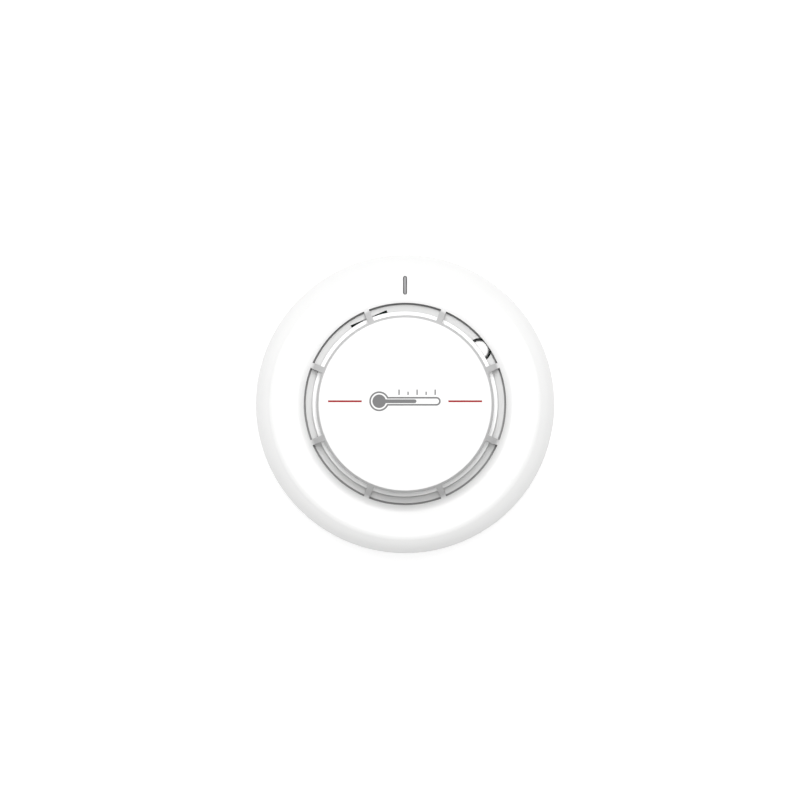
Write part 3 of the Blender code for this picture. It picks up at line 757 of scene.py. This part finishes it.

# %% [markdown]
# ## The inner cover
#
# Through the windows you look down on a second cover, which keeps dust and fingers off the circuit
# board. A narrow groove runs under the windows' outer edge and reads as a dark line round the whole
# cage. A round hole lets the rear shell's locating post through, and a straight slot takes the
# sensor plate's clip. The cover's white is painted darker as shade, and the groove and the walls of
# the holes are painted dark as shade. From straight above the walls' painted shade makes no
# difference: what keeps the holes dark is how little the board under them reflects.

# %% Make the inner cover
inner_low, inner_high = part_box("inner_cover")
POST_ANGLE, POST_R = 36.0, 30.6 * MM
GROOVE_NEAR = 33.15 * MM
CLIP_ANGLE, CLIP_R = 112.9, 29.65 * MM
# Painted shade: where the dark tones start and end, and how dark the holes and the groove are painted.
PAINTED_SHADE_DROP, PAINTED_SHADE_REACH = 0.15 * MM, 35.2 * MM
HOLE_PAINTED_SHADE, GROOVE_PAINTED_SHADE = (0.02, 0.02, 0.02), (0.27, 0.27, 0.27)


def inner_cover_mesh():
    radius, top, bottom = inner_high.x, inner_high.z, inner_low.z
    hub, thick, side = 12.4 * MM, 1.6 * MM, 1.4 * MM
    near, far, deep = GROOVE_NEAR, 35.0 * MM, 1.0 * MM
    corners = [(hub, top), (near, top), (near, top - deep, 0), (far, top - deep, 0), (far, top),
               (radius, top), (radius, bottom), (radius - side, bottom),
               (radius - side, top - thick, 0), (hub, top - thick)]
    shell = turned(rounded(corners, 0.12 * MM, 3))
    low, high = top - 3 * MM, top + MM
    holes = [hole_mesh(4.0 * MM, POST_ANGLE, POST_R, low, high, 72)]
    holes += [hole_mesh(3.0 * MM, angle, BOSS_R, low, high, 48) for angle in BOSS_ANGLES]
    clip_slot = around(CLIP_ANGLE, CLIP_R)
    holes.append(box_mesh((-1.5 * MM, -6.5 * MM, low), (1.6 * MM, 6.5 * MM, high), clip_slot))
    holes.append(moved(flat([stadium(6.5 * MM, 1.6 * MM)], low, high), around(90, SLOT_R)))
    return combined(shell, holes, 'DIFFERENCE')


def inner_finish():
    """White plastic painted darker as shade; the groove and the walls of the holes are painted dark as
    shade.
    """
    finish = Finish("inner_white")
    height = finish.axes()[2]
    # Painted shade on the sunk surfaces: the groove and the walls of the holes.
    sunk_shade = (height < inner_high.z - PAINTED_SHADE_DROP) * (1 - finish.beyond(PAINTED_SHADE_REACH))
    groove = finish.beyond(GROOVE_NEAR - 0.1 * MM)
    cloud = finish.noise(9 * MM, 2.0)
    grain = finish.noise(0.24 * MM, 2.0)
    # The inner cover's white is painted darker than the front cover's, as shade.
    white = finish.blend(cloud, (0.61, 0.61, 0.608), (0.64, 0.64, 0.638))
    dark = finish.blend(groove, HOLE_PAINTED_SHADE, GROOVE_PAINTED_SHADE)
    finish.set(Base_Color=finish.blend(sunk_shade, white, dark))
    finish.set(Roughness=0.5 + 0.08 * (grain - 0.5) + 0.2 * sunk_shade)
    finish.set(Specular_IOR_Level=0.45, IOR=1.53)
    finish.relief(grain, 0.005 * MM)
    return finish.material


def hole_mesh(radius, angle_deg, distance, low, high, steps):
    """A round cutter on a circle about the axis."""
    return moved(turned([(0.0, high), (radius, high), (radius, low), (0.0, low)], steps),
                 around(angle_deg, distance))


inner_white = inner_finish()
inner_cover = piece("inner_floor", inner_cover_mesh(), inner_white)
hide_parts("inner_cover")
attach(inner_cover, "head")

# %% [markdown]
# ## The sensor plate
#
# Just outside the cap you see a white disc: the plate that holds the thermistor in the middle of
# the cage, clear of the warm electronics. It is turned like the covers, with a small tower in the
# middle that four gussets brace. The edge is round where the eye meets it.

# %% Make the sensor plate
PLATE_Z = plate_high.z - 3.0 * MM
TOWER_Z = plate_high.z


def sensor_plate_mesh():
    under = PLATE_Z - 1.4 * MM
    seat = 29.0 * MM
    corners = [(2.0 * MM, TOWER_Z), (3.2 * MM, TOWER_Z), (3.8 * MM, PLATE_Z), (plate_radius, PLATE_Z),
               (plate_radius, under), (14.0 * MM, under), (14.0 * MM, seat), (12.1 * MM, seat),
               (12.1 * MM, 26.5 * MM), (10.6 * MM, 26.5 * MM), (10.6 * MM, under), (2.0 * MM, under)]
    disc = turned(rounded(corners, 0.3 * MM))
    blade = flat([[(2.9 * MM, PLATE_Z - 0.2 * MM), (7.2 * MM, PLATE_Z - 0.2 * MM),
                   (6.9 * MM, PLATE_Z + 0.25 * MM), (2.9 * MM, TOWER_Z - 0.5 * MM)]], -0.35 * MM, 0.35 * MM)
    gusset = moved(blade, Matrix.Rotation(math.pi / 2, 4, 'X'))
    return combined(disc, [ring_of(gusset, 4, 0.0, plate_white)], 'UNION')


def clip_meshes():
    place = around(CLIP_ANGLE)
    tab = box_mesh((29.15 * MM, -4 * MM, 25.6 * MM), (30.75 * MM, 4 * MM, 31.2 * MM), place)
    barb = box_mesh((29.65 * MM, -2.2 * MM, 25.8 * MM), (32.25 * MM, 2.2 * MM, 26.8 * MM), place)
    return tab, barb


plate_mesh = sensor_plate_mesh()
for clip in clip_meshes():
    plate_mesh = combined(plate_mesh, [clip], 'UNION')
sensor_plate = piece("sensor_disc", plate_mesh, plate_white)
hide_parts("sensor_plate")
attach(sensor_plate, "head")

# %% [markdown]
# ## The thermistor
#
# The sensing bead is a drop of dark epoxy over a tiny chip, on two tinned leads that spread as they
# leave it. The drop is a turned profile that narrows to a neck at the leads. The leads are curves
# with a round bevel.

# %% Finishes of the bead and the leads
def bead_finish():
    finish = Finish("bead_epoxy")
    cloud = finish.noise(0.8 * MM, 2.0)
    finish.set(Base_Color=finish.blend(cloud, (0.035, 0.02, 0.014), (0.06, 0.036, 0.025)))
    finish.set(Roughness=0.12 + 0.12 * cloud, IOR=1.55)
    finish.set(Coat_Weight=0.5, Coat_Roughness=0.08)
    finish.relief(cloud, 0.02 * MM)
    return finish.material


def metal_finish(name, light, dark, roughness, scale):
    """Plated metal: even colour with faint blotches and fine drawn scratches."""
    finish = Finish(name)
    stretch = finish.node("ShaderNodeMapping", "Vector", Vector=finish.place, Scale=(1.0, 1.0, 9.0))
    scratch = finish.node("ShaderNodeTexNoise", "Fac", Vector=stretch, Scale=1.0 / scale, Detail=4.0)
    cloud = finish.noise(3.0 * MM, 2.0)
    finish.set(Base_Color=finish.blend(cloud, dark, light), Metallic=1.0)
    finish.set(Roughness=roughness + 0.16 * (scratch - 0.5) + 0.1 * (cloud - 0.5))
    finish.relief(scratch, 0.004 * MM)
    return finish.material


bead_epoxy = bead_finish()
tinned_wire = metal_finish("tinned_wire", (0.78, 0.77, 0.74), (0.66, 0.65, 0.63), 0.28, 0.2 * MM)
nickel = metal_finish("nickel_plate", (0.74, 0.70, 0.62), (0.62, 0.58, 0.50), 0.26, 0.3 * MM)
zinc = metal_finish("zinc_plate", (0.68, 0.70, 0.73), (0.54, 0.56, 0.60), 0.32, 0.25 * MM)
print("metals:", tinned_wire.name, nickel.name, zinc.name)

# %% Make the bead and its leads
bead_low, bead_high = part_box("thermistor")


def bead_profile():
    """A drop from its round top down to the neck where the leads come out."""
    height = 4.0 * MM
    centre = bead_high.z - 1.6 * MM
    points = []
    for step in range(25):
        t = step / 24
        angle = math.pi * t
        radius = 1.22 * MM * math.sin(angle) ** 0.9 * (1 - 0.28 * t ** 3)
        reach = 1.6 * MM if t < 0.5 else height - 1.6 * MM
        z = centre + reach * math.cos(angle)
        points.append((max(radius, 0.0), z))
    points[0], points[-1] = (0.0, points[0][1]), (0.0, points[-1][1])
    return points


def lead_mesh(side):
    """One lead from the board up through the tower into the bead."""
    route = [(0.75, bead_low.z / MM), (0.75, 26.0), (0.72, 32.0), (0.62, 34.6), (0.42, 36.0), (0.4, 37.6)]
    curve = bpy.data.curves.new("lead", 'CURVE')
    curve.dimensions = '3D'
    curve.bevel_depth = 0.25 * MM
    curve.bevel_resolution = 3
    curve.use_fill_caps = True
    spline = curve.splines.new('NURBS')
    spline.points.add(len(route) - 1)
    for point, (x, z) in zip(spline.points, route):
        point.co = (side * x * MM, 0.0, z * MM, 1.0)
    spline.use_endpoint_u = True
    spline.order_u = 3
    return welded(plain_mesh(link(bpy.data.objects.new("lead", curve))))


bead = piece("thermistor_bead", turned(bead_profile(), 48), bead_epoxy)
leads = piece("thermistor_leads", together([lead_mesh(-1), lead_mesh(1)]), tinned_wire)
for part in (bead, leads):
    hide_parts("thermistor")
    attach(part, "head")

# %% [markdown]
# ## The light pipe
#
# The indicator's light travels up a blade to the slot. Unlit, the blade looks grey, with a lighter
# core and a darker line round it where the gap is. The finish is a plain opaque grey with a painted
# lighter strip along the middle, standing in for light seen through the clear blade, masked on the
# object's own coordinates.

# %% Make the light pipe
PIPE_CORE_HALF = 0.3 * MM


def pipe_finish():
    finish = Finish("pipe_clear")
    across = finish.axes()[0]
    # Painted light: the lighter core stands in for light seen through the clear blade.
    core = (across * across) < PIPE_CORE_HALF ** 2
    haze = finish.noise(0.5 * MM, 2.0)
    finish.set(Base_Color=finish.blend(core, (0.17, 0.17, 0.175), (0.27, 0.27, 0.275)))
    finish.set(Roughness=0.45 + 0.1 * haze, IOR=1.58, Specular_IOR_Level=0.3)
    finish.relief(haze, 0.006 * MM)
    return finish.material


def pipe_mesh():
    blade = flat([stadium(5.8 * MM, 0.9 * MM)], pipe_low.z, pipe_high.z)
    blade = softened(blade, 0.12 * MM)
    collar = softened(flat([stadium(6.0 * MM, 2.6 * MM)], 25.8 * MM, 26.8 * MM), 0.1 * MM)
    return moved(combined(blade, [collar], 'UNION'), around(90, SLOT_R))


pipe_clear = pipe_finish()
pipe = piece("light_blade", pipe_mesh(), pipe_clear)
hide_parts("light_pipe")
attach(pipe, "head")

# %% [markdown]
# ## Print on the cap
#
# Two fine red lines are pad-printed on the cap, either side of a plain grey thermometer that says
# what the device senses. Ink has a thickness of a few hundredths of a millimetre, so each print is
# a thin plate that stands just proud of the plastic, and it stays sharp at any distance.

# %% Print the lines and the symbol
INK = 0.02 * MM
LINE_Y = 0.92 * MM
LINE_HALF = 0.3 * MM
LINE_NEAR, LINE_FAR = 14.4 * MM, 25.6 * MM


def ink_finish(name, colour, worn):
    finish = Finish(name)
    speck = finish.noise(0.35 * MM, 3.0)
    finish.set(Base_Color=finish.blend(speck, worn, colour))
    finish.set(Roughness=0.6 + 0.12 * speck, Specular_IOR_Level=0.2)
    finish.relief(speck, 0.004 * MM)
    return finish.material


def printed(name, outlines, material):
    mark = piece(name, flat(outlines, top_z - INK, top_z + INK), material)
    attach(mark, "head")
    return mark


def bar(x0, x1, y0, y1):
    """Outline of a rectangle."""
    return [(x0, y0), (x1, y0), (x1, y1), (x0, y1)]


def thermometer(centre_x, length, bulb, tube):
    """Outline of a thermometer lying on its side: a bulb at the left, a tube to the right."""
    spread = math.degrees(math.asin(tube / bulb))
    start = (centre_x, LINE_Y)
    end = (centre_x + length, LINE_Y)
    return arc(start, bulb, spread, 360 - spread, 40) + arc(end, tube, -90, 90, 14)


def thermometer_outlines():
    bulb, tube, stroke, gap = 3.3 * MM, 1.45 * MM, 0.55 * MM, 0.5 * MM
    start, length = -8.6 * MM, 19.0 * MM
    outer = thermometer(start, length, bulb, tube)
    hole = thermometer(start, length, bulb - stroke, tube - stroke)
    column = thermometer(start, 0.62 * length, bulb - stroke - gap, tube - stroke - 0.55 * gap)
    ticks = [bar(x - 0.22 * MM, x + 0.22 * MM, LINE_Y + 2.1 * MM, LINE_Y + (3.9 if long else 3.2) * MM)
             for x, long in ((-2.0 * MM, 1), (1.0 * MM, 0), (4.0 * MM, 1), (7.0 * MM, 0), (10.0 * MM, 1))]
    return [outer, hole, column] + ticks


red_ink = ink_finish("red_ink", (0.34, 0.006, 0.008), (0.3, 0.01, 0.012))
grey_ink = ink_finish("grey_ink", (0.175, 0.175, 0.178), (0.2, 0.2, 0.203))
printed("red_line_left", [bar(-LINE_FAR, -LINE_NEAR, LINE_Y - LINE_HALF, LINE_Y + LINE_HALF)], red_ink)
printed("red_line_right", [bar(LINE_NEAR, LINE_FAR, LINE_Y - LINE_HALF, LINE_Y + LINE_HALF)], red_ink)
printed("thermometer_symbol", thermometer_outlines(), grey_ink)

# %% [markdown]
# ## The base
#
# The base is a shallow dish that screws to the ceiling. Cables come in through the middle, and the
# head's lugs turn under three hooks. The dish is turned; hooks, stops and terminal pads are made
# once and repeated by the ring tree, then joined to it. Slots and bars are cut last.

# %% Make the base
HOOK_INNER, HOOK_OUTER = 43.2 * MM, 48.3 * MM
PAD_TOP = 4.0 * MM
FLOOR_TOP = 2.2 * MM


def sector(inner, outer, start_deg, end_deg, steps=12):
    """Outline of a slice of a ring."""
    turns = [math.radians(start_deg + (end_deg - start_deg) * i / steps) for i in range(steps + 1)]
    return ([(outer * math.cos(t), outer * math.sin(t)) for t in turns]
            + [(inner * math.cos(t), inner * math.sin(t)) for t in reversed(turns)])


def dish_profile():
    inner = 47.9 * MM
    corners = [(inner, base_top), (outer_radius, base_top), (outer_radius - 0.4 * MM, 0.0),
               (9.0 * MM, 0.0), (9.0 * MM, FLOOR_TOP), (inner, FLOOR_TOP)]
    return rounded(corners, 0.35 * MM)


def base_mesh():
    mesh = turned(dish_profile())
    pad = softened(box_mesh((20.4 * MM, -5 * MM, 1.9 * MM), (32.4 * MM, 5 * MM, PAD_TOP)), 0.2 * MM)
    hook = softened(flat([sector(HOOK_INNER, HOOK_OUTER, -9, 9)], 7.1 * MM, 8.9 * MM), 0.15 * MM)
    stop = flat([sector(HOOK_INNER + 0.1 * MM, HOOK_OUTER + 0.1 * MM, -11.5, -7.8, 3)], 4.6 * MM, 8.8 * MM)
    mesh = combined(mesh, [ring_of(pad, 4, 45.0, base_white)], 'UNION')
    mesh = combined(mesh, [ring_of(hook, 3, 90.0, base_white)], 'UNION')
    mesh = combined(mesh, [ring_of(stop, 3, 90.0, base_white)], 'UNION')
    slots = [moved(flat([stadium(12.0 * MM, 4.5 * MM)], -MM, 3.5 * MM), around(angle, 30.0 * MM))
             for angle in (0, 180)]
    pilot = [(0.0, 5.0 * MM), (1.9 * MM, 5.0 * MM), (1.9 * MM, 0.7 * MM), (0.0, 0.7 * MM)]
    pilots = ring_of(moved(turned(pilot, 32), around(0, 26.5 * MM)), 4, 45.0, base_white)
    marks = [skirt_mark(MARK_ANGLE + turn, base_top - high * MM, base_top - 1.4 * MM, 0.4 * MM)
             for turn, high in ((0.0, 6.0), (18.0, 3.6))]
    return welded(combined(mesh, slots + [pilots] + marks, 'DIFFERENCE'), False)


base = piece("base_dish", base_mesh(), base_white)
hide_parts("base_plate")
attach(base, "base")

# %% [markdown]
# ## The circuit board and what is on it
#
# The board hides behind the covers, and a glimpse of it is nearly black. It is dark green solder
# resist over a copper pattern, which a brick texture lays out in runs and gaps. The resist is much
# duller than a real one: a glossy board throws the light from above back out of the holes, and they
# turn grey. Components are black moulded resin or a small metal can.

# %% Finishes for the board and its components
def board_finish():
    finish = Finish("solder_resist")
    runs = finish.node("ShaderNodeTexBrick", "Fac", Vector=finish.place, Scale=1.0 / (4.0 * MM),
                       Mortar_Size=0.09, Brick_Width=1.7, Row_Height=0.42)
    patch = finish.noise(6.0 * MM, 1.0) > 0.48
    copper = runs * patch
    finish.set(Base_Color=finish.blend(copper, (0.004, 0.02, 0.012), (0.012, 0.06, 0.03)))
    finish.set(Roughness=0.7 - 0.1 * copper, Specular_IOR_Level=0.12)
    finish.relief(copper, 0.03 * MM)
    return finish.material


def resin_finish(name, dark, light, roughness):
    finish = Finish(name)
    grain = finish.noise(0.18 * MM, 3.0)
    cloud = finish.noise(2.5 * MM, 2.0)
    finish.set(Base_Color=finish.blend(cloud, dark, light), Roughness=roughness + 0.14 * (grain - 0.5))
    finish.relief(grain, 0.01 * MM)
    return finish.material


solder_resist = board_finish()
black_resin = resin_finish("black_resin", (0.016, 0.016, 0.017), (0.026, 0.026, 0.027), 0.5)
lamp_resin = resin_finish("lamp_resin", (0.72, 0.69, 0.56), (0.8, 0.78, 0.68), 0.25)
FINISHES = {"inner_abs": inner_white, "white_abs": cover_white, "board_laminate": solder_resist,
            "component_black": black_resin, "lamp_resin": lamp_resin, "nickel_brass": nickel,
            "zinc_steel": zinc, "clear_plastic": pipe_clear, "bead_coating": bead_epoxy}
slots = {entry["node"]: entry["material_slot"] for entry in frame["record"]["subparts"]}
for name, obj in nodes.items():
    obj.data.materials.clear()
    obj.data.materials.append(FINISHES[slots[name]])
print("finished CAD nodes:", len(nodes))

# %% [markdown]
# ## Studio
#
# The detector lies on a plain pale table with its face up. The key light is a softbox almost
# overhead, leaning a little towards the indicator, so the windows' lower edges fall into soft
# shade. A front light lifts the flat faces, two low lights touch the rim's upper half, and pale
# surroundings fill the rest. The camera is straight above with a long lens, so the rim and the cap
# keep their true sizes.

# %% Table, lights and camera
LIGHT_DISTANCE = 3.0


def table_finish():
    finish = Finish("table_white")
    cloud = finish.noise(0.4, 2.0)
    finish.set(Base_Color=finish.blend(cloud, (0.44, 0.44, 0.44), (0.46, 0.46, 0.46)), Roughness=0.9)
    finish.set(Specular_IOR_Level=0.1, Emission_Color=(1.0, 1.0, 1.0), Emission_Strength=0.7)
    return finish.material


def add_table():
    work = bmesh.new()
    bmesh.ops.create_circle(work, cap_ends=True, segments=96, radius=3.0)
    mesh = bpy.data.meshes.new("table")
    work.to_mesh(mesh)
    work.free()
    table = piece("table", mesh, table_finish())
    table.location.z = -0.02 * MM


def add_light(name, tilt_deg, heading_deg, spread_deg, strength):
    """A round softbox: strength 1 makes a white card that faces it just reach white."""
    tilt, heading, spread = (math.radians(a) for a in (tilt_deg, heading_deg, spread_deg))
    light = bpy.data.lights.new(name, 'AREA')
    light.shape = 'DISK'
    light.size = 2 * LIGHT_DISTANCE * math.tan(spread)
    light.energy = (math.pi * LIGHT_DISTANCE / math.cos(spread)) ** 2 * strength
    lamp = link(bpy.data.objects.new(name, light))
    turn = Matrix.Rotation(heading, 4, 'Z') @ Matrix.Rotation(tilt, 4, 'Y')
    lamp.matrix_world = turn @ Matrix.Translation((0.0, 0.0, LIGHT_DISTANCE))


def add_surroundings(strength):
    world = bpy.data.worlds.new("surroundings")
    world.use_nodes = True
    world.node_tree.nodes["Background"].inputs["Color"].default_value = (1.0, 1.0, 1.0, 1.0)
    world.node_tree.nodes["Background"].inputs["Strength"].default_value = strength
    bpy.context.scene.world = world


def add_camera():
    view = bpy.data.cameras.new("camera")
    view.lens = 500.0
    view.sensor_width = 36.0
    view.clip_end = 10.0
    camera = link(bpy.data.objects.new("camera", view))
    camera.location = (-1.68 * MM, 1.34 * MM, 3.737)
    bpy.context.scene.camera = camera


add_table()
add_light("front", 0.0, 0.0, 5.0, 0.3)
add_light("key", 12.0, 90.0, 8.0, 0.43)
add_light("upper", 26.0, 90.0, 11.0, 0.19)
add_light("rim_right", 60.0, 35.0, 14.0, 0.1)
add_light("rim_left", 60.0, 145.0, 14.0, 0.12)
add_surroundings(0.25)
add_camera()
bpy.context.scene.view_settings.view_transform = 'Standard'
print("studio ready")
